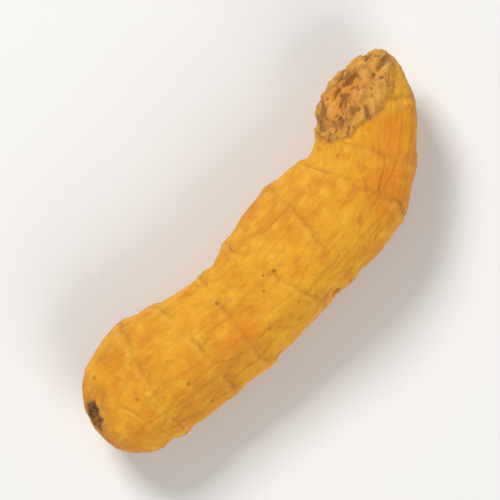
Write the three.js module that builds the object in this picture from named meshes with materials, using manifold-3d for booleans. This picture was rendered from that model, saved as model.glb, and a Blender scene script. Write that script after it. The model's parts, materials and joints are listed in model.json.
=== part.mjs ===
// A dried turmeric finger: one solid piece of rhizome lying on its side.
// Millimetres, +Z up. +X runs from the round growing end to the broken end, and the finger bows towards -Y.
// It rests on a flat spot at Z = 0, and the origin lies under the middle of its box.
import * as THREE from "three";
import { mergeVertices } from "three/addons/utils/BufferGeometryUtils.js";
import Module from "manifold-3d";

const wasm = await Module();
wasm.setup();

// Driving dimensions
const chord = 29.1; // straight line from the growing end to the tip of the broken end
const bow = 5.0; // how far the axis swings aside from that line
const girth = 8.0; // greatest width, at the belly
const heightShare = 0.94; // height of a section compared with its width
const tipLift = 0.7; // rise of the axis at the broken end
const tipLiftFrom = 0.55; // share of the chord where that rise starts
const restDepth = 0.55; // how much the flat resting spot takes off the belly
const calmRadius = 2.4; // half width below which the relief dies away, so that both ends stay closed

// Stations of the finger: share of the chord, share of the bow, share of the girth
const stations = [
  [0, 0, 0],
  [0.012, 0.03, 0.42],
  [0.055, 0.12, 0.76],
  [0.157, 0.29, 0.95],
  [0.26, 0.51, 0.9],
  [0.375, 0.71, 0.89],
  [0.503, 0.83, 0.98],
  [0.646, 0.94, 1],
  [0.741, 0.98, 0.86],
  [0.825, 0.83, 0.75],
  [0.902, 0.56, 0.71],
  [0.958, 0.33, 0.47],
  [1, 0, 0],
];
const rowCount = 84; // sections along the finger
const sideCount = 40; // corners round a section
const curveDivisions = 600; // steps in which the length of the finger is measured
const mergeGap = 1e-5; // points closer than this are one point

// Leaf-scar rings: low ridges with a groove behind them, each stronger on one side by its uneven share
const ringShape = { height: 0.2, halfWidth: 0.46, grooveDepth: 0.15, grooveBehind: 0.78, uneven: 0.3 };

// Each ring: distance from the growing end, slant along the finger, degrees to the slanted side, strength.
// The leaves stood in two rows, so the rings slant to either side in turn.
const leafRings = [
  { at: 2.1, lean: 0.35, facing: 20, strength: 0.7 },
  { at: 4.7, lean: 0.5, facing: 195, strength: 0.9 },
  { at: 7.9, lean: 0.65, facing: 35, strength: 0.75 },
  { at: 11.2, lean: 0.45, facing: 215, strength: 1 },
  { at: 14.9, lean: 0.7, facing: 5, strength: 0.65 },
  { at: 18.1, lean: 0.5, facing: 170, strength: 0.95 },
  { at: 21.7, lean: 0.6, facing: 45, strength: 0.8 },
  { at: 24.8, lean: 0.4, facing: 200, strength: 0.75 },
  { at: 27.5, lean: 0.5, facing: 30, strength: 0.6 },
];

// Broad lumps and drying furrows: lobes round the section, length of one turn along the finger, height
const lumps = [
  { lobes: 1, turn: 9.5, height: 0.09 },
  { lobes: 2, turn: 21, height: 0.15 },
  { lobes: 3, turn: -13, height: 0.11 },
  { lobes: 5, turn: 27, height: 0.06 },
  { lobes: 8, turn: -60, height: 0.05 },
];

// Side buds beside some rings, low on either flank in turn: size, sunk root, degrees below the flank
const buds = { rings: [1, 3, 5], width: 2.8, height: 0.42, root: 0.8, below: 42, sides: 14, steps: 9 };

// Outline of a bud from its root to its point: share of the width, share of the root (below 0) or the height
const budOutline = [
  [0, -1],
  [0.5, -0.7],
  [0.36, 0.35],
  [0.14, 0.85],
  [0, 1],
];

// Scar of the growing tip: an open pit high on the round end
const tipScar = { radius: 1.1, depth: 0.36, row: 4, around: 108, sides: 16, rings: 12 };

// Broken face, where the finger parted from its mother root: a rough slope on the inner side of the tip.
// Share of the finger's length, distance from its axis, size of the block that broke away and of its facets.
const broken = { at: 0.89, stand: 1.12, length: 12, width: 9, depth: 5, cell: 0.5 };
const brokenFacing = new THREE.Vector3(0.24, 0.73, 0.64).normalize();
const brokenWaves = [
  { x: 2.1, y: 1.3, start: 0, height: 0.12 },
  { x: -2.9, y: 1.7, start: 2, height: 0.08 },
  { x: 0.6, y: 3.4, start: 1, height: 0.06 },
];

// The axis and half width of the finger share one curve: x and y are the axis, z is the half width
const fingerCurve = new THREE.CatmullRomCurve3(
  stations.map(([along, aside, width]) => {
    return new THREE.Vector3(along * chord, -aside * bow, (width * girth) / 2);
  }),
);
fingerCurve.arcLengthDivisions = curveDivisions;
const rows = makeRows();

function axisPoint(point) {
  const lift = tipLift * THREE.MathUtils.smoothstep(point.x / chord, tipLiftFrom, 1);
  return new THREE.Vector3(point.x, point.y, lift);
}

// Sections spaced evenly along the skin, each with its centre, half width and the directions it spreads in
function makeRows() {
  const points = fingerCurve.getSpacedPoints(rowCount);
  const centres = points.map(axisPoint);
  const vertical = new THREE.Vector3(0, 0, 1);
  let distance = 0;
  return centres.map((centre, i) => {
    const before = centres[Math.max(i - 1, 0)];
    const after = centres[Math.min(i + 1, rowCount)];
    const ahead = new THREE.Vector3().subVectors(after, before).normalize();
    const outer = new THREE.Vector3().crossVectors(ahead, vertical).normalize();
    const up = new THREE.Vector3().crossVectors(outer, ahead);
    distance += centre.distanceTo(before);
    return { centre, outer, up, distance, radius: Math.max(points[i].z, 0) };
  });
}

function bump(away) {
  return Math.exp(-((away / ringShape.halfWidth) ** 2));
}

function ringRelief(distance, around) {
  let height = 0;
  for (const ring of leafRings) {
    const facing = THREE.MathUtils.degToRad(ring.facing);
    const away = distance - ring.at - ring.lean * Math.cos(around - facing);
    const share = 1 - ringShape.uneven + ringShape.uneven * Math.sin(around + facing);
    const strength = ring.strength * share;
    height += strength * ringShape.height * bump(away);
    height -= strength * ringShape.grooveDepth * bump(away - ringShape.grooveBehind);
  }
  return height;
}

function lumpRelief(distance, around) {
  let height = 0;
  for (const lump of lumps) {
    height += lump.height * Math.sin(lump.lobes * around + (2 * Math.PI * distance) / lump.turn);
  }
  return height;
}

// Point of the skin at a section, at an angle that starts on the outer flank and turns up over the top
function skinPoint(row, around) {
  const fade = THREE.MathUtils.smoothstep(row.radius, 0, calmRadius);
  const reach = row.radius + fade * (ringRelief(row.distance, around) + lumpRelief(row.distance, around));
  const point = row.centre.clone();
  point.addScaledVector(row.outer, reach * Math.cos(around));
  point.addScaledVector(row.up, reach * heightShare * Math.sin(around));
  return point;
}

// Direction that the skin faces at a point
function skinFacing(rowIndex, around) {
  const turn = Math.PI / sideCount;
  const ahead = skinPoint(rows[rowIndex + 1], around).sub(skinPoint(rows[rowIndex - 1], around));
  const across = skinPoint(rows[rowIndex], around + turn).sub(skinPoint(rows[rowIndex], around - turn));
  return ahead.cross(across).normalize();
}

// A turned blank with one row of points for each section, bent on to the axis
function makeFinger() {
  const profile = rows.map((row) => new THREE.Vector2(row.radius, row.distance));
  const blank = new THREE.LatheGeometry(profile, sideCount);
  const position = blank.getAttribute("position");
  for (let i = 0; i < position.count; i++) {
    const row = rows[i % rows.length];
    const around = (-2 * Math.PI * Math.floor(i / rows.length)) / sideCount;
    const point = skinPoint(row, around);
    position.setXYZ(i, point.x, point.y, point.z);
  }
  return toSolid(blank);
}

// A low pointed dome that stands on the skin beside a leaf ring
function makeBud(ring, onOuterFlank) {
  const rowIndex = rows.findIndex((row) => row.distance >= ring.at);
  const below = THREE.MathUtils.degToRad(buds.below);
  const around = onOuterFlank ? -below : Math.PI + below;
  const profile = new THREE.SplineCurve(
    budOutline.map(([aside, up]) => {
      return new THREE.Vector2(aside * buds.width, up * (up < 0 ? buds.root : buds.height));
    }),
  );
  const dome = new THREE.LatheGeometry(profile.getPoints(buds.steps), buds.sides);
  const spot = skinPoint(rows[rowIndex], around);
  turnAndPlace(dome, new THREE.Vector3(0, 1, 0), skinFacing(rowIndex, around), spot);
  return toSolid(dome);
}

// A ball that scoops the shallow pit out of the round end
function makeTipScar() {
  const around = THREE.MathUtils.degToRad(tipScar.around);
  const centre = skinPoint(rows[tipScar.row], around);
  centre.addScaledVector(skinFacing(tipScar.row, around), tipScar.radius - tipScar.depth);
  const ball = new THREE.SphereGeometry(tipScar.radius, tipScar.sides, tipScar.rings);
  ball.translate(centre.x, centre.y, centre.z);
  return toSolid(ball);
}

// A block whose lower face is rough, laid on the slope to take off what broke away
function makeBreak() {
  const { length, width, depth, cell } = broken;
  const block = new THREE.BoxGeometry(length, width, depth, length / cell, width / cell, 1);
  block.translate(0, 0, depth / 2);
  const position = block.getAttribute("position");
  for (let i = 0; i < position.count; i++) {
    let rough = 0;
    for (const wave of brokenWaves) {
      rough += wave.height * Math.sin(wave.x * position.getX(i) + wave.y * position.getY(i) + wave.start);
    }
    position.setZ(i, position.getZ(i) + rough);
  }
  const centre = axisPoint(fingerCurve.getPointAt(broken.at));
  centre.addScaledVector(brokenFacing, broken.stand);
  turnAndPlace(block, new THREE.Vector3(0, 0, 1), brokenFacing, centre);
  return toSolid(block);
}

// Everything under the flat resting spot
function makeRest(bellyBottom) {
  const slab = new THREE.BoxGeometry(2 * chord, 2 * chord, girth);
  slab.translate(chord / 2, 0, bellyBottom + restDepth - girth / 2);
  return toSolid(slab);
}

function turnAndPlace(geometry, from, to, place) {
  geometry.applyQuaternion(new THREE.Quaternion().setFromUnitVectors(from, to));
  geometry.translate(place.x, place.y, place.z);
}

function toSolid(geometry) {
  geometry.deleteAttribute("normal");
  geometry.deleteAttribute("uv");
  const merged = mergeVertices(geometry, mergeGap);
  const corners = merged.index.array;
  const triangles = [];
  for (let i = 0; i < corners.length; i += 3) {
    const [a, b, c] = corners.subarray(i, i + 3);
    if (a !== b && b !== c && c !== a) triangles.push(a, b, c);
  }
  const vertProperties = new Float32Array(merged.getAttribute("position").array);
  const triVerts = new Uint32Array(triangles);
  return new wasm.Manifold(new wasm.Mesh({ numProp: 3, vertProperties, triVerts }));
}

function toGeometry(solid) {
  const mesh = solid.getMesh();
  const geometry = new THREE.BufferGeometry();
  geometry.setAttribute("position", new THREE.BufferAttribute(mesh.vertProperties, 3));
  geometry.setIndex(new THREE.BufferAttribute(mesh.triVerts, 1));
  geometry.computeVertexNormals();
  return geometry;
}

function makeTurmericRoot() {
  let root = makeFinger();
  const bellyBottom = root.boundingBox().min[2];
  buds.rings.forEach((ring, i) => {
    const onOuterFlank = i % 2 === 0;
    root = root.add(makeBud(leafRings[ring], onOuterFlank));
  });
  root = root.subtract(makeTipScar());
  root = root.subtract(makeBreak());
  root = root.subtract(makeRest(bellyBottom));

  const geometry = toGeometry(root);
  geometry.computeBoundingBox();
  const middle = geometry.boundingBox.getCenter(new THREE.Vector3());
  geometry.translate(-middle.x, -middle.y, -geometry.boundingBox.min.z);

  const driedSkin = new THREE.MeshStandardMaterial({ color: 0xdf9a34, roughness: 0.85, metalness: 0 });
  const mesh = new THREE.Mesh(geometry, driedSkin);
  mesh.name = "turmeric_root";
  return mesh;
}

const part = new THREE.Group();
part.add(makeTurmericRoot());

export default part;
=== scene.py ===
import json
import math
import random

import bpy
import numpy as np
from mathutils import Color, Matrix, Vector, noise
from mathutils.kdtree import KDTree

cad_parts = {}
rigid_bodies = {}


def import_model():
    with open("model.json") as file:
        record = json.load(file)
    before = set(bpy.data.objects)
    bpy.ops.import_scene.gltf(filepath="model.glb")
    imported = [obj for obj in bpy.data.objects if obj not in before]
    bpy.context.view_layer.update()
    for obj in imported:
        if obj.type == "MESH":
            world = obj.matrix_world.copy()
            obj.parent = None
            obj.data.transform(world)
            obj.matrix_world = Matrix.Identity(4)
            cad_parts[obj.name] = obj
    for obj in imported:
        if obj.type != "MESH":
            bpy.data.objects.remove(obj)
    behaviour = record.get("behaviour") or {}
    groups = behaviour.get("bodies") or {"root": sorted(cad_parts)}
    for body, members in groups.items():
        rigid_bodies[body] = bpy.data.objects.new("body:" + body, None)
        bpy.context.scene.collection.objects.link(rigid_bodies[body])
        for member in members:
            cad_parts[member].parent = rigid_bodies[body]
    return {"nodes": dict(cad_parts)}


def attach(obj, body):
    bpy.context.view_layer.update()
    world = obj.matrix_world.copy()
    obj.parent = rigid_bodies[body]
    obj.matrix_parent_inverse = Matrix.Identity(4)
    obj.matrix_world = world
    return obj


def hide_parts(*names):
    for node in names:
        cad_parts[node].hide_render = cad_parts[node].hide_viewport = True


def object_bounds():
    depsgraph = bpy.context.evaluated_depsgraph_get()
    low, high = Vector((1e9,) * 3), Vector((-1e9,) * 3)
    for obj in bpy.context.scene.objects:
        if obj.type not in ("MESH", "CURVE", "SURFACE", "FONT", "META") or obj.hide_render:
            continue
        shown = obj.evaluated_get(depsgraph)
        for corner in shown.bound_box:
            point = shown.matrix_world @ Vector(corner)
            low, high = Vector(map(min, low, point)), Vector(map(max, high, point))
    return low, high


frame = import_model()
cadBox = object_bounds()  # box of the solid, before anything is added
mm = 0.001
print("frame loaded, box", [list(corner) for corner in cadBox])


# small helpers

def selectOnly(obj):
    bpy.ops.object.select_all(action="DESELECT")
    obj.select_set(True)
    bpy.context.view_layer.objects.active = obj


def applyModifier(obj, name, kind, **values):
    modifier = obj.modifiers.new(name, kind)
    for key, value in values.items():
        setattr(modifier, key, value)
    selectOnly(obj)
    bpy.ops.object.modifier_apply(modifier=modifier.name)


def readPoints(mesh):
    flat = np.empty(len(mesh.vertices) * 3)
    mesh.vertices.foreach_get("co", flat)
    return flat.reshape(-1, 3)


def readNormals(mesh):
    flat = np.empty(len(mesh.vertices) * 3, np.float32)
    mesh.vertex_normals.foreach_get("vector", flat)
    return flat.reshape(-1, 3).astype(float)


def storeOnPoints(mesh, name, values):  # one number or one vector for each point
    values = np.asarray(values, np.float32)
    kind, field = ("FLOAT", "value") if values.ndim == 1 else ("FLOAT_VECTOR", "vector")
    mesh.attributes.new(name, kind, "POINT").data.foreach_set(field, values.ravel())


def ease(low, high, values):  # from 0 at low to 1 at high, also where low is the larger
    share = np.clip((values - low) / (high - low), 0, 1)
    return share * share * (3 - 2 * share)


def hill(values, halfWidth):
    return np.exp(-((values / halfWidth) ** 2))


def unit(rows):
    return rows / np.linalg.norm(rows, axis=1)[:, None]


# centre line of the finger, measured on the solid from the round end to the broken end

centreLine = {"slices": 24, "endGap": 0.55 * mm, "slab": 0.7 * mm, "passes": 3, "bends": 7, "steps": 700}


def measureCentreLine(points):
    low, high = points[:, 0].min(), points[:, 0].max()
    xs = np.linspace(low + centreLine["endGap"], high - centreLine["endGap"], centreLine["slices"])
    middles = np.column_stack([xs, np.zeros(len(xs)), np.full(len(xs), points[:, 2].mean())])
    ahead = np.tile([1.0, 0.0, 0.0], (len(xs), 1))
    for turn in range(centreLine["passes"]):
        for i in range(len(xs)):
            depth = (points - middles[i]) @ ahead[i]
            cut = points[np.abs(depth) < centreLine["slab"]]
            middle = (cut.min(0) + cut.max(0)) / 2
            middles[i] = middle - ((middle - middles[i]) @ ahead[i]) * ahead[i]
        ahead = unit(np.gradient(middles, axis=0))
    x = np.linspace(low, high, centreLine["steps"])
    scale = high  # keeps the fitted curve's numbers near one
    sides = [np.polyfit(middles[:, 0] / scale, middles[:, axis], centreLine["bends"]) for axis in (1, 2)]
    return np.column_stack([x] + [np.polyval(side, x / scale) for side in sides])


solid = frame["nodes"]["turmeric_root"]
solidPoints = readPoints(solid.data)
line = measureCentreLine(solidPoints)
lineAhead = unit(np.gradient(line, axis=0))
lineOuter = unit(np.cross(lineAhead, (0, 0, 1)))  # towards the outer flank of the bend
lineUp = np.cross(lineOuter, lineAhead)
lineLength = np.concatenate([[0], np.cumsum(np.linalg.norm(np.diff(line, axis=0), axis=1))])
lineTree = KDTree(len(line))
for number, spot in enumerate(line):
    lineTree.insert(spot, number)
lineTree.balance()
print("centre line measured, length mm", round(lineLength[-1] / mm, 2))


# place of every point on the straightened finger: along, towards the outer flank, upwards, in mm
def straighten(points):
    nearest = np.array([lineTree.find(point)[1] for point in points])
    away = points - line[nearest]
    along = lineLength[nearest] + (away * lineAhead[nearest]).sum(1)
    outer = (away * lineOuter[nearest]).sum(1)
    upward = (away * lineUp[nearest]).sum(1)
    return np.column_stack([along, outer, upward]) / mm


# the finger: a tube extruded along the centre line, subdivided and drawn on to the solid

finger = {
    "rings": 22, "sides": 16, "endGap": 0.6 * mm, "tipGap": 1.4 * mm,
    "formLevels": 3, "fineLevels": 1,
    "smoothing": 0.5, "smoothTurns": (12, 12, 2),  # the long turns spread the points evenly
}


def capRing():
    bpy.ops.mesh.fill_grid(span=finger["sides"] // 4)  # a square grid, a quarter of the ring on each side


def measureRadius(centre, heading):
    away = solidPoints - centre
    depth = away @ heading
    near = np.abs(depth) < centreLine["slab"]
    return np.linalg.norm(away[near] - depth[near, None] * heading, axis=1).mean()


def selectFirstRing(mesh):
    firstRing = range(finger["sides"])  # the circle's own points
    for vertex in mesh.vertices:
        vertex.select = vertex.index in firstRing
    for edge in mesh.edges:
        edge.select = all(index in firstRing for index in edge.vertices)
    for face in mesh.polygons:
        face.select = False


def extrudeFinger():
    places = np.linspace(finger["endGap"], lineLength[-1] - finger["tipGap"], finger["rings"])
    steps = [int(np.searchsorted(lineLength, place)) for place in places]
    centres = [Vector(line[step]) for step in steps]
    headings = [math.atan2(lineAhead[step][1], lineAhead[step][0]) for step in steps]
    radii = [measureRadius(line[step], lineAhead[step]) for step in steps]
    bpy.ops.object.select_all(action="DESELECT")
    bpy.ops.mesh.primitive_circle_add(
        vertices=finger["sides"], radius=radii[0], location=centres[0], rotation=(0, math.pi / 2, headings[0])
    )
    obj = bpy.context.object
    obj.name = "turmericFinger"
    bpy.ops.object.transform_apply(location=True, rotation=True, scale=True)
    bpy.ops.object.mode_set(mode="EDIT")
    bpy.ops.mesh.select_all(action="SELECT")
    for i in range(1, len(centres)):
        bpy.ops.mesh.extrude_region_move(TRANSFORM_OT_translate={"value": centres[i] - centres[i - 1]})
        bpy.ops.transform.rotate(
            value=headings[i - 1] - headings[i], orient_axis="Z", center_override=centres[i]
        )
        bpy.ops.transform.resize(value=(radii[i] / radii[i - 1],) * 3, center_override=centres[i])
    capRing()  # the last ring is still selected
    bpy.ops.object.mode_set(mode="OBJECT")
    selectFirstRing(obj.data)
    bpy.ops.object.mode_set(mode="EDIT")
    capRing()
    bpy.ops.mesh.select_all(action="SELECT")
    bpy.ops.mesh.normals_make_consistent(inside=False)
    bpy.ops.object.mode_set(mode="OBJECT")
    return obj


def subdivide(obj, name, levels):
    applyModifier(obj, name, "SUBSURF", levels=levels, render_levels=levels)


def drawOnToSolid(obj):
    subdivide(obj, "form", finger["formLevels"])
    for turns in finger["smoothTurns"]:
        applyModifier(obj, "fit", "SHRINKWRAP", target=solid, wrap_method="NEAREST_SURFACEPOINT")
        applyModifier(obj, "relax", "SMOOTH", factor=finger["smoothing"], iterations=turns)
    subdivide(obj, "fine", finger["fineLevels"])


root = extrudeFinger()
print("finger extruded,", len(root.data.polygons), "faces")
drawOnToSolid(root)
print("finger drawn on to the solid,", len(root.data.polygons), "faces")


# noise on the straightened finger: patches have a length along it and a width across it in mm,
# and each pattern is shifted to a stretch of noise of its own

def grain(place, patch):
    sizes = (patch["along"], patch["across"], patch["across"])
    return np.array([noise.noise(spot) for spot in (place / sizes + patch["shift"]).tolist()])


def roughen(place, patches):
    return sum(patch["amount"] * grain(place, patch) for patch in patches)


def blotches(place, patch):
    return patch["amount"] * ease(patch["from"], patch["to"], grain(place, patch))


def creases(place, patch):  # thin lines where the noise crosses zero
    return np.clip(1 - np.abs(grain(place, patch)) / patch["width"], 0, 1)


# Each carving below returns its height in mm, and adds to marks how much of each mark a point has.

# skin between the rings

skin = {
    "layers": [
        {"amount": 0.06, "along": 2.4, "across": 1.7, "shift": 0},  # lumps
        {"amount": 0.04, "along": 1.0, "across": 0.8, "shift": 0},  # swells
        {"amount": 0.02, "along": 0.4, "across": 2.6, "shift": 0},  # threads round the finger
        {"amount": 0.03, "along": 3, "across": 0.32, "shift": 33},  # ribs along it
        {"amount": 0.032, "along": 0.3, "across": 0.26, "shift": 0},  # crumbs
        {"amount": 0.02, "along": 0.15, "across": 0.15, "shift": 0},  # dust
    ],
    "creased": {"amount": 1, "along": 7, "across": 3, "shift": 0, "from": -0.25, "to": 0.35},
    "longCreases": {"depth": 0.1, "power": 1.5, "along": 8, "across": 1.05, "shift": 0, "width": 0.09},
    "fineCreases": {"depth": 0.055, "along": 4.5, "across": 0.55, "shift": 40, "width": 0.13},
    "fineLoss": 0.5,  # share of the fine creases that is lost among the long ones
    "plainEnd": (0.6, 2.6),  # the creases run out before the round end
}


def carveCreases(place, marks):
    creased = blotches(place, skin["creased"])
    flank = ease(*skin["plainEnd"], place[:, 0])
    longCrease = creases(place, skin["longCreases"]) * creased * flank
    fineCrease = creases(place, skin["fineCreases"]) * (1 - skin["fineLoss"] * creased) * flank
    # the crease marks are also kept to paint shade into the creases
    marks["longCrease"] = longCrease
    marks["fineCrease"] = fineCrease
    longDepth = skin["longCreases"]["depth"] * longCrease ** skin["longCreases"]["power"]
    return -longDepth - skin["fineCreases"]["depth"] * fineCrease


# leaf-scar rings: a ragged lip with a cut and a corky band behind it, all in mm,
# at the same distance, slant, side and strength as on the solid

leafRings = [
    {"at": 2.1, "lean": 0.35, "facing": 20, "strength": 0.7},
    {"at": 4.7, "lean": 0.5, "facing": 195, "strength": 0.9},
    {"at": 7.9, "lean": 0.65, "facing": 35, "strength": 0.75},
    {"at": 11.2, "lean": 0.45, "facing": 215, "strength": 1},
    {"at": 14.9, "lean": 0.7, "facing": 5, "strength": 0.65},
    {"at": 18.1, "lean": 0.5, "facing": 170, "strength": 0.95},
    {"at": 21.7, "lean": 0.6, "facing": 45, "strength": 0.8},
    {"at": 24.8, "lean": 0.4, "facing": 200, "strength": 0.75},
    {"at": 27.5, "lean": 0.5, "facing": 30, "strength": 0.6},
]
ringSkin = {
    "lip": 0.055, "lipWidth": 0.2, "lipShare": 0.75,
    "ragged": [{"amount": 0.7, "along": 0.5, "across": 0.35, "shift": 3}],
    "cut": 0.07, "cutWidth": 0.13, "cutBehind": 0.36,
    "bandRise": (0, 0.3), "bandFade": (1.44, 0.4),
    "uneven": 0.25,  # a ring is stronger on one side
    "wander": [
        {"amount": 0.3, "along": 1.6, "across": 1.6, "shift": 7},
        {"amount": 0.15, "along": 0.5, "across": 0.5, "shift": 9},
    ],
    "worn": {"amount": 0.8, "along": 3, "across": 2.2, "shift": 21, "from": -0.1, "to": 0.35},
}


def carveRings(place, around, marks):
    height = np.zeros(len(place))
    marks.update({name: np.zeros(len(place)) for name in ("lip", "cut", "band")})
    wander = roughen(place, ringSkin["wander"])
    unworn = 1 - blotches(place, ringSkin["worn"])
    ragged = ringSkin["lipShare"] + roughen(place, ringSkin["ragged"])
    for ring in leafRings:
        facing = math.radians(ring["facing"])
        away = place[:, 0] - ring["at"] - ring["lean"] * np.cos(around - facing) + wander
        oneSided = 1 - ringSkin["uneven"] + ringSkin["uneven"] * np.sin(around + facing)
        strength = ring["strength"] * oneSided * unworn
        lip = strength * hill(away, ringSkin["lipWidth"])
        cut = strength * hill(away - ringSkin["cutBehind"], ringSkin["cutWidth"])
        band = strength * ease(*ringSkin["bandRise"], away) * ease(*ringSkin["bandFade"], away)
        height += ringSkin["lip"] * ragged * lip - ringSkin["cut"] * cut
        for name, mark in (("lip", lip), ("cut", cut), ("band", band)):
            marks[name] = np.maximum(marks[name], mark)
    return height


# root scars: small round craters beside the rings, on the underside and the flanks

rootScars = {
    "seed": 31, "count": 13, "nearest": 0.5, "furthest": 1.3,  # from its ring, mm
    "from": 160, "to": 380, "fingerRadius": 4,  # degrees round the finger
    "smallest": 0.28, "largest": 0.6, "longest": 1.35,
    "rim": 0.05, "bowl": 0.12, "core": 0.07,  # heights, and below them edges in shares of a scar's radius
    "rimAt": 1, "paleAt": 1.05, "rimWidth": 0.3,
    "bowlEdge": (0.95, 0.35), "coreEdge": (0.4, 0.1), "darkEdge": (1.05, 0.4),
    "wobble": [
        {"amount": 0.4, "along": 0.55, "across": 0.55, "shift": 13},
        {"amount": 0.2, "along": 0.2, "across": 0.2, "shift": 14},
    ],
    "rimShare": 0.55, "patchy": [{"amount": 0.9, "along": 0.8, "across": 0.8, "shift": 15}],
}


def carveScars(place, around, marks):
    random.seed(rootScars["seed"])
    height = np.zeros(len(place))
    marks.update({name: np.zeros(len(place)) for name in ("scar", "scarRim")})
    wobble = 1 + roughen(place, rootScars["wobble"])
    patchy = rootScars["rimShare"] + roughen(place, rootScars["patchy"])
    for number in range(rootScars["count"]):
        ring = random.choice(leafRings)
        side = random.choice((-1, 1))
        along = ring["at"] + side * random.uniform(rootScars["nearest"], rootScars["furthest"])
        turn = math.radians(random.uniform(rootScars["from"], rootScars["to"]))
        size = random.uniform(rootScars["smallest"], rootScars["largest"])
        longer = random.uniform(1, rootScars["longest"])
        acrossSkin = 2 * rootScars["fingerRadius"] * np.sin((around - turn) / 2)
        middle = place[np.argmin(np.hypot(place[:, 0] - along, acrossSkin))]
        away = place - middle
        reach = np.hypot(away[:, 0] * longer, np.hypot(away[:, 1], away[:, 2]) / longer) / size * wobble
        height += rootScars["rim"] * patchy * hill(reach - rootScars["rimAt"], rootScars["rimWidth"])
        height -= rootScars["bowl"] * ease(*rootScars["bowlEdge"], reach)
        height += rootScars["core"] * ease(*rootScars["coreEdge"], reach)
        paleRim = patchy * hill(reach - rootScars["paleAt"], rootScars["rimWidth"])
        marks["scar"] = np.maximum(marks["scar"], ease(*rootScars["darkEdge"], reach))
        marks["scarRim"] = np.maximum(marks["scarRim"], paleRim)
    return height


# fine pits: one in some of the cells that the skin is divided into, sizes in mm

pits = {
    "cell": 1.15, "share": 0.34, "drawScale": 7.3,  # which cells have one
    "radius": 0.17, "least": 0.7, "edge": (1.1, 0.45), "depth": 0.075,
}


def carvePits(place, marks):
    reach = np.full(len(place), math.inf)
    for number, spot in enumerate((place / pits["cell"]).tolist()):
        distances, seeds = noise.voronoi(spot)
        chance = (noise.cell(seeds[0] * pits["drawScale"]) + 1) / 2
        if chance < pits["share"]:
            reach[number] = distances[0] * pits["cell"] / pits["radius"] / (pits["least"] + chance)
    marks["pit"] = ease(*pits["edge"], reach)
    return -pits["depth"] * marks["pit"]


# dark brown pit at the far point of the round end, with a corky rim

tipPit = {
    "spot": np.array((-14.07, 3.38, 4.83)) * mm, "radius": 0.95, "sunk": 0.03, "rim": 0.06,
    "edge": (1.12, 0.8), "rimAt": 1.25, "rimWidth": 0.26,  # in shares of its radius
    "wobble": [
        {"amount": 0.3, "along": 0.7, "across": 0.7, "shift": 27},
        {"amount": 0.2, "along": 0.25, "across": 0.25, "shift": 28},
    ],
    "ragged": [{"amount": 0.13, "along": 0.3, "across": 0.3, "shift": 29}],
}


def carveTipPit(points, place, marks):
    reach = np.linalg.norm(points - tipPit["spot"], axis=1) / mm / tipPit["radius"]
    reach *= 1 + roughen(place, tipPit["wobble"])
    marks["tip"] = ease(*tipPit["edge"], reach)
    marks["tipRim"] = hill(reach - tipPit["rimAt"], tipPit["rimWidth"])
    floorHeight = roughen(place, tipPit["ragged"]) - tipPit["sunk"]
    return marks["tip"] * floorHeight + tipPit["rim"] * marks["tipRim"]


# broken face at the tip: torn flesh on the plane that its facets share on the solid

brokenFace = {
    "facing": Vector((0.24, 0.73, 0.64)), "spread": 0.82, "tipShare": 0.72,  # finds the facets
    "depth": (-0.55, -0.3), "slope": (0.35, 0.7), "reach": (5.5, 3.85), "rim": 0.1,
    "raggedEdge": [
        {"amount": 0.13, "along": 1.2, "across": 1.2, "shift": 11},
        {"amount": 0.14, "along": 0.45, "across": 0.45, "shift": 5},
    ],
    "fibres": {"amount": 0.15, "along": 1.1, "across": 0.55, "shift": 2},
    "splinters": {"amount": 0.11, "along": 0.7, "across": 0.22, "shift": 4},
    "grit": {"amount": 0.05, "along": 0.2, "across": 0.16, "shift": 8},
    "holes": {"amount": 0.12, "along": 0.32, "across": 0.24, "shift": 6, "from": 0.3, "to": 0.55},
    "ledges": {"amount": 0.26, "along": 2, "across": 1.2, "shift": 12, "from": -0.07, "to": 0.07},
    # the ledge foot darkens the flesh as painted shade at the foot of each ledge
    "ledgeFoot": {"dark": 0.7, "at": -0.1, "width": 0.08},
}
fleshCore = {  # orange heart of the broken face, edges in shares of its oval
    "halfLength": 3.2, "halfWidth": 2.2, "edge": (0.76, 0.56), "lineAt": 0.66, "lineWidth": 0.06,
    "wander": [{"amount": 0.1, "along": 0.8, "across": 0.8, "shift": 10}],
}


def measureBrokenFace(mesh):
    total = Vector()
    spot = Vector()
    area = 0
    edgeX = cadBox[0][0] + brokenFace["tipShare"] * (cadBox[1][0] - cadBox[0][0])
    for face in mesh.polygons:
        if face.center.x > edgeX and face.normal.dot(brokenFace["facing"]) > brokenFace["spread"]:
            total += face.normal * face.area
            spot += face.center * face.area
            area += face.area
    return np.array(spot / area), np.array(total.normalized())


def tearFlesh(place, marks):
    height = roughen(place, [brokenFace[name] for name in ("fibres", "splinters", "grit")])
    height -= blotches(place, brokenFace["holes"])
    ledges = brokenFace["ledges"]
    foot = brokenFace["ledgeFoot"]
    step = grain(place, ledges)
    # the stored mark is the relief height, used for a painted highlight on the raised flesh and painted shade
    # in its holes, with painted shade at each ledge foot taken off
    footShade = foot["dark"] * hill(step - foot["at"], foot["width"])
    marks["torn"] = height / brokenFace["fibres"]["amount"] - footShade
    return height + ledges["amount"] * (ease(ledges["from"], ledges["to"], step) - 0.5)  # half up, half down


def markCore(away, place, facing, marks):
    lengthwise = np.cross(facing, np.cross((1, 0, 0), facing))  # the finger's own direction, laid on the face
    lengthwise /= np.linalg.norm(lengthwise)
    across = np.cross(facing, lengthwise)
    oval = np.hypot(away @ lengthwise / fleshCore["halfLength"], away @ across / fleshCore["halfWidth"])
    oval += roughen(place, fleshCore["wander"])
    marks["core"] = ease(*fleshCore["edge"], oval)
    marks["coreLine"] = hill(oval - fleshCore["lineAt"], fleshCore["lineWidth"])


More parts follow.
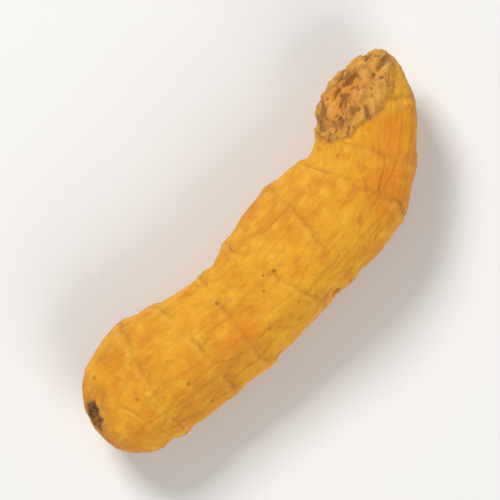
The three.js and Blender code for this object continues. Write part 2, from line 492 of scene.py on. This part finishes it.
def carveBrokenFace(points, place, normals, marks):
    spot, facing = measureBrokenFace(solid.data)
    away = (points - spot) / mm
    above = away @ facing + roughen(place, brokenFace["raggedEdge"])
    marks["broken"] = (
        ease(*brokenFace["depth"], above)
        * ease(*brokenFace["slope"], normals @ facing)
        * ease(*brokenFace["reach"], np.linalg.norm(away, axis=1))
    )
    markCore(away, place, facing, marks)
    return tearFlesh(place, marks)


# reddish streak along the outer shoulder, near the broken end: along in mm, round the finger in degrees

flush = {
    "rise": (20.5, 22.5), "fade": (28.5, 26.5), "around": 55, "spread": 26,
    "wander": [{"amount": 14, "along": 2, "across": 1, "shift": 17}],
}


def markFlush(place, around, marks):
    turn = np.degrees(np.angle(np.exp(1j * (around - math.radians(flush["around"])))))
    turn += roughen(place, flush["wander"])
    along = place[:, 0]
    marks["flush"] = ease(*flush["rise"], along) * ease(*flush["fade"], along) * hill(turn, flush["spread"])


# the carved skin, with what colours it stored on its points

stainsAndCreaseShade = {  # how strongly each mark colours the skin
    # the two creases' dark shares are painted shade in the creases; the other dark shares colour the ring
    # cuts, scars, pits and tip pit
    "dark": {"cut": 0.45, "scar": 0.5, "pit": 0.6, "longCrease": 0.22, "fineCrease": 0.16, "tip": 1},
    "pale": {"lip": 0.3, "scarRim": 0.3},
    "band": {"band": 0.4, "tipRim": 0.55},
}
plainMarks = ("broken", "rim", "core", "torn", "flush")  # stored as they are


def carveSkin(mesh):
    points = readPoints(mesh)
    normals = readNormals(mesh)
    place = straighten(points)
    around = np.arctan2(place[:, 2], place[:, 1])
    marks = {}
    height = roughen(place, skin["layers"])
    height += carveCreases(place, marks)
    height += carveRings(place, around, marks)
    height += carveScars(place, around, marks)
    height += carvePits(place, marks)
    height += carveTipPit(points, place, marks)
    brokenHeight = carveBrokenFace(points, place, normals, marks)
    markFlush(place, around, marks)
    broken = marks["broken"]
    whole = 1 - broken
    edge = 4 * broken * whole  # 1 along the edge of the broken face
    marks["rim"] = np.maximum(edge, marks["coreLine"] * broken)
    height = height * whole + brokenHeight * broken + brokenFace["rim"] * edge
    points += normals * height[:, None] * mm
    points[:, 2] = np.maximum(points[:, 2], 0)  # the resting spot stays flat
    mesh.vertices.foreach_set("co", points.ravel())
    mesh.update()
    storeOnPoints(mesh, "place", place)
    for stainOrShade, shares in stainsAndCreaseShade.items():
        strongest = np.maximum.reduce([share * marks[mark] for mark, share in shares.items()])
        storeOnPoints(mesh, stainOrShade, strongest * whole)
    for mark in plainMarks:
        storeOnPoints(mesh, mark, marks[mark])


# the few edges that the relief has bent too sharply are smoothed, so that no face folds over another

folds = {"sharpest": 85, "spread": 1, "smoothing": 0.5, "turns": 6}


def easeFolds(obj):
    selectOnly(obj)
    bpy.ops.object.mode_set(mode="EDIT")
    bpy.ops.mesh.select_mode(type="EDGE")
    bpy.ops.mesh.select_all(action="DESELECT")
    bpy.ops.mesh.edges_select_sharp(sharpness=math.radians(folds["sharpest"]))
    for turn in range(folds["spread"]):
        bpy.ops.mesh.select_more()
    bpy.ops.mesh.vertices_smooth(factor=folds["smoothing"], repeat=folds["turns"])
    bpy.ops.object.mode_set(mode="OBJECT")
    print("folds eased at", sum(vertex.select for vertex in obj.data.vertices), "points")


carveSkin(root.data)
easeFolds(root)
selectOnly(root)
bpy.ops.object.shade_smooth()
print("skin carved")


# materials

def shade(red, green, blue):  # screen colour, 0 to 255
    return (*Color((red / 255, green / 255, blue / 255)).from_srgb_to_scene_linear(), 1)


def newMaterial(name):
    material = bpy.data.materials.new(name)
    material.use_nodes = True
    return material, material.node_tree.nodes["Principled BSDF"]


class Wiring:  # short calls for one material's nodes
    def __init__(self, material):
        self.nodes = material.node_tree.nodes
        self.links = material.node_tree.links

    def node(self, kind, **values):
        node = self.nodes.new(kind)
        for name, value in values.items():
            setattr(node, name, value)
        return node

    def plug(self, node, values):  # a plain value is set, anything else is linked
        for name, value in values.items():
            if isinstance(value, (int, float, tuple)):
                node.inputs[name].default_value = value
            else:
                self.links.new(value, node.inputs[name])

    def attribute(self, name, output="Fac"):
        return self.node("ShaderNodeAttribute", attribute_name=name).outputs[output]

    def stretch(self, coords, density):
        node = self.node("ShaderNodeMapping")
        self.plug(node, {"Vector": coords, "Scale": density})
        return node.outputs["Vector"]

    def noise(self, coords, scale, detail, roughness):
        node = self.node("ShaderNodeTexNoise")
        self.plug(node, {"Vector": coords, "Scale": scale, "Detail": detail, "Roughness": roughness})
        return node.outputs["Fac"]

    def ramp(self, source, low, high, least=0, most=1):
        node = self.node("ShaderNodeMapRange", interpolation_type="SMOOTHSTEP")
        self.plug(node, {"Value": source, "From Min": low, "From Max": high, "To Min": least, "To Max": most})
        return node.outputs["Result"]

    def math(self, operation, first, second):
        node = self.node("ShaderNodeMath", operation=operation)
        self.plug(node, {0: first, 1: second})
        return node.outputs["Value"]

    def mix(self, mask, first, second):
        node = self.node("ShaderNodeMix", data_type="RGBA")
        self.plug(node, {0: mask, 6: first, 7: second})  # the factor and the two colours
        return node.outputs[2]


# dried skin: patterns on the finger's own coordinates in metres, or stretched along the straightened finger

skinTints = {
    "yellow": shade(228, 161, 30),
    "orange": shade(217, 138, 27),
    "bright": shade(236, 176, 46),
    "deep": shade(205, 120, 23),
    "ochre": shade(190, 126, 38),
    "cork": shade(160, 104, 44),
    "brown": shade(74, 44, 16),
    "pale": shade(236, 184, 88),
    "flush": shade(210, 110, 22),
    "flesh": shade(209, 153, 64),
    "fleshOrange": shade(210, 130, 32),
    # fleshPale is a painted highlight on the raised torn flesh
    "fleshPale": shade(222, 170, 90),
    # fleshDark is the flesh's own dark specks, and painted shade in the torn flesh's holes and at its ledge
    # feet
    "fleshDark": shade(112, 78, 46),
}
skinPatterns = {
    "broad": {"scale": 190, "detail": 4, "roughness": 0.55},
    "mottle": {"scale": 950, "detail": 4, "roughness": 0.6},
    "spots": {"scale": 1700, "detail": 4, "roughness": 0.65},
    "crumbs": {"scale": 2600, "detail": 4, "roughness": 0.7},
    "dust": {"scale": 3800, "detail": 3, "roughness": 0.6},
    "grit": {"scale": 5200, "detail": 4, "roughness": 0.7},
    "powder": {"scale": 8200, "detail": 2, "roughness": 0.6},
}
stretchedPatterns = {
    "streaks": {"density": (0.16, 1.3, 1.3), "scale": 1.6, "detail": 5, "roughness": 0.6},
    "fibres": {"density": (0.35, 3, 3), "scale": 2.4, "detail": 4, "roughness": 0.65},
}

# Tints laid over each other from first to last. Each shows where its pattern rises from low to high,
# between its least and most, and only within a stored mask where it names one.
skinLayers = [
    {"tint": "orange", "pattern": "broad", "low": 0.35, "high": 0.68, "most": 1},
    {"tint": "deep", "pattern": "mottle", "low": 0.51, "high": 0.69, "most": 0.68},
    {"tint": "bright", "pattern": "mottle", "low": 0.49, "high": 0.32, "most": 0.68},
    {"tint": "ochre", "pattern": "streaks", "low": 0.5, "high": 0.72, "most": 0.3},
    {"tint": "flush", "within": "flush", "most": 0.55},
    {
        "tint": "cork", "within": "band", "pattern": "crumbs",
        "low": 0.35, "high": 0.65, "least": 0.1, "most": 0.75,
    },
    {"tint": "pale", "within": "pale", "most": 1},
    {"tint": "cork", "pattern": "crumbs", "low": 0.6, "high": 0.76, "most": 0.4},
    {"tint": "pale", "pattern": "dust", "low": 0.5, "high": 0.75, "most": 0.22},
    # brown where dark is stored: painted shade in the creases, and the dark colour of ring cuts, scars, pits
    # and the tip pit
    {
        "tint": "brown", "within": "dark", "pattern": "crumbs",
        "low": 0.3, "high": 0.6, "least": 0.55, "most": 1,
    },
]
fleshLayers = [
    {"tint": "fleshOrange", "pattern": "core", "low": 0, "high": 1, "least": 0.15, "most": 0.7},
    # painted highlight on the raised torn flesh, then painted shade in its holes and at its ledge feet
    {"tint": "fleshPale", "pattern": "torn", "low": 0.1, "high": 0.6, "most": 0.5},
    {"tint": "fleshDark", "pattern": "torn", "low": -0.05, "high": -0.7, "most": 0.75},
    {"tint": "fleshDark", "pattern": "spots", "low": 0.57, "high": 0.72, "most": 0.6},
]
powderLayers = [
    {"tint": "cork", "within": "rim", "most": 0.5},
    {"tint": "pale", "pattern": "powder", "low": 0.55, "high": 0.75, "most": 0.22},
    {"tint": "ochre", "pattern": "powder", "low": 0.45, "high": 0.25, "most": 0.3},
]
skinFinish = {
    "dustEdge": (0.5, 0.75), "roughness": (0.8, 0.96),  # rougher where dust lies
    "fibreShare": 0.8, "bumpStrength": 0.8, "bumpDepth": 0.06 * mm,
    "sheen": 0.08, "sheenRoughness": 0.5, "specular": 0.25,
}


def layTints(wire, colour, layers, sources):
    for layer in layers:
        mask = layer["most"]
        if "pattern" in layer:
            pattern = sources[layer["pattern"]]
            mask = wire.ramp(pattern, layer["low"], layer["high"], layer.get("least", 0), layer["most"])
        if "within" in layer:
            mask = wire.math("MULTIPLY", sources[layer["within"]], mask)
        colour = wire.mix(mask, colour, skinTints[layer["tint"]])
    return colour


def makeDriedSkin():
    material, shader = newMaterial("driedSkin")
    wire = Wiring(material)
    coords = wire.node("ShaderNodeTexCoord").outputs["Object"]
    place = wire.attribute("place", "Vector")
    sources = {name: wire.noise(coords, **pattern) for name, pattern in skinPatterns.items()}
    for name, pattern in stretchedPatterns.items():
        settings = dict(pattern)
        stretched = wire.stretch(place, settings.pop("density"))
        sources[name] = wire.noise(stretched, **settings)
    for name in (*stainsAndCreaseShade, *plainMarks):
        sources[name] = wire.attribute(name)

    colour = layTints(wire, skinTints["yellow"], skinLayers, sources)
    flesh = layTints(wire, skinTints["flesh"], fleshLayers, sources)
    colour = wire.mix(sources["broken"], colour, flesh)
    colour = layTints(wire, colour, powderLayers, sources)
    dust = wire.ramp(sources["dust"], *skinFinish["dustEdge"])
    fibres = wire.math("MULTIPLY", sources["fibres"], skinFinish["fibreShare"])
    bump = wire.node("ShaderNodeBump")
    wire.plug(bump, {
        "Strength": skinFinish["bumpStrength"],
        "Distance": skinFinish["bumpDepth"],
        "Height": wire.math("ADD", sources["grit"], fibres),
    })
    wire.plug(shader, {
        "Base Color": colour,
        "Roughness": wire.ramp(dust, 0, 1, *skinFinish["roughness"]),
        "Normal": bump.outputs["Normal"],
        "Sheen Weight": skinFinish["sheen"],
        "Sheen Roughness": skinFinish["sheenRoughness"],
        "Specular IOR Level": skinFinish["specular"],
    })
    return material


root.data.materials.append(makeDriedSkin())
print("materials made")


# camera, floor and light

view = {"turn": -55.7, "span": 31 * mm, "lens": 400, "sensor": 36, "nearest": 10 * mm}


def addCamera():
    angle = math.radians(view["turn"])
    across = np.array([math.cos(angle), math.sin(angle), 0])
    upward = np.array([-math.sin(angle), math.cos(angle), 0])
    sideways = solidPoints @ across
    vertical = solidPoints @ upward
    middle = across * (sideways.min() + sideways.max()) / 2 + upward * (vertical.min() + vertical.max()) / 2
    middleHeight = (cadBox[0][2] + cadBox[1][2]) / 2
    data = bpy.data.cameras.new("camera")
    data.lens = view["lens"]
    data.sensor_width = view["sensor"]
    data.clip_start = view["nearest"]
    camera = bpy.data.objects.new("camera", data)
    bpy.context.scene.collection.objects.link(camera)
    distance = view["span"] / view["sensor"] * view["lens"]
    camera.location = (middle[0], middle[1], middleHeight + distance)
    camera.rotation_euler = (0, 0, angle)
    bpy.context.scene.camera = camera


floor = {
    "size": 1.6, "height": -0.02 * mm,  # just under the resting spot
    "colour": shade(230, 229, 226), "roughness": 0.9,
}


def addFloor():
    bpy.ops.object.select_all(action="DESELECT")
    bpy.ops.mesh.primitive_plane_add(size=floor["size"], location=(0, 0, floor["height"]))
    obj = bpy.context.object
    obj.name = "floor"
    material, shader = newMaterial("paleFloor")
    shader.inputs["Base Color"].default_value = floor["colour"]
    shader.inputs["Roughness"].default_value = floor["roughness"]
    obj.data.materials.append(material)


lights = {
    "key": {"place": (0.1, 0.28, 0.32), "size": 0.14, "power": 1.39},
    "fill": {"place": (-0.12, -0.34, 0.28), "size": 0.3, "power": 1.05},
}
studio = {"colour": (1, 1, 1, 1), "strength": 0.35}


def addLights():
    for name, light in lights.items():
        data = bpy.data.lights.new(name, "AREA")
        data.size = light["size"]
        data.energy = light["power"]
        obj = bpy.data.objects.new(name, data)
        bpy.context.scene.collection.objects.link(obj)
        obj.location = light["place"]
        towardsRoot = -Vector(light["place"])
        obj.rotation_euler = towardsRoot.to_track_quat("-Z", "Y").to_euler()
    world = bpy.data.worlds.new("studio")
    world.use_nodes = True
    background = world.node_tree.nodes["Background"]
    background.inputs["Color"].default_value = studio["colour"]
    background.inputs["Strength"].default_value = studio["strength"]
    bpy.context.scene.world = world
    bpy.context.scene.view_settings.view_transform = "Standard"


addCamera()
addFloor()
addLights()
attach(root, "root")
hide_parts("turmeric_root")
